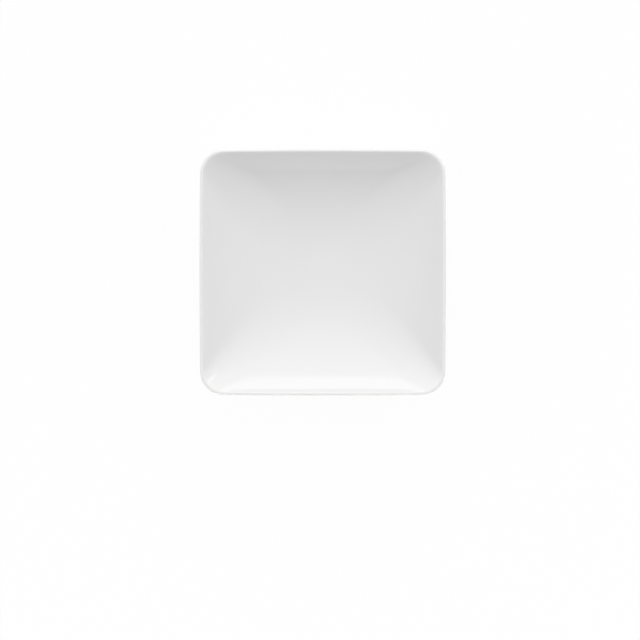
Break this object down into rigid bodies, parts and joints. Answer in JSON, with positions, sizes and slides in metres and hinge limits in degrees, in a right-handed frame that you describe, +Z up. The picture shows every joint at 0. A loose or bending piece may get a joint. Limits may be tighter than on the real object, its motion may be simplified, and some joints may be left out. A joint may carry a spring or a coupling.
{
  "type": "square plate",
  "caption": "Small deep square plate of white glazed porcelain with flared walls, rounded corners, a thin soft lip, a gently dished well and a square foot around a shallow recess.",
  "frame": {"origin": "centre of the plane that the foot stands on", "axes": "+Z up out of the well, +X and +Y square to the sides"},
  "size_m": [0.13, 0.13, 0.03],
  "materials": {
    "bare_porcelain": "matte",
    "white_glaze": "polished"
  },
  "bodies": {
    "root": {"porcelain_body": "bare_porcelain", "outer_glaze": "white_glaze", "recess_glaze": "white_glaze"}
  },
  "joints": []
}
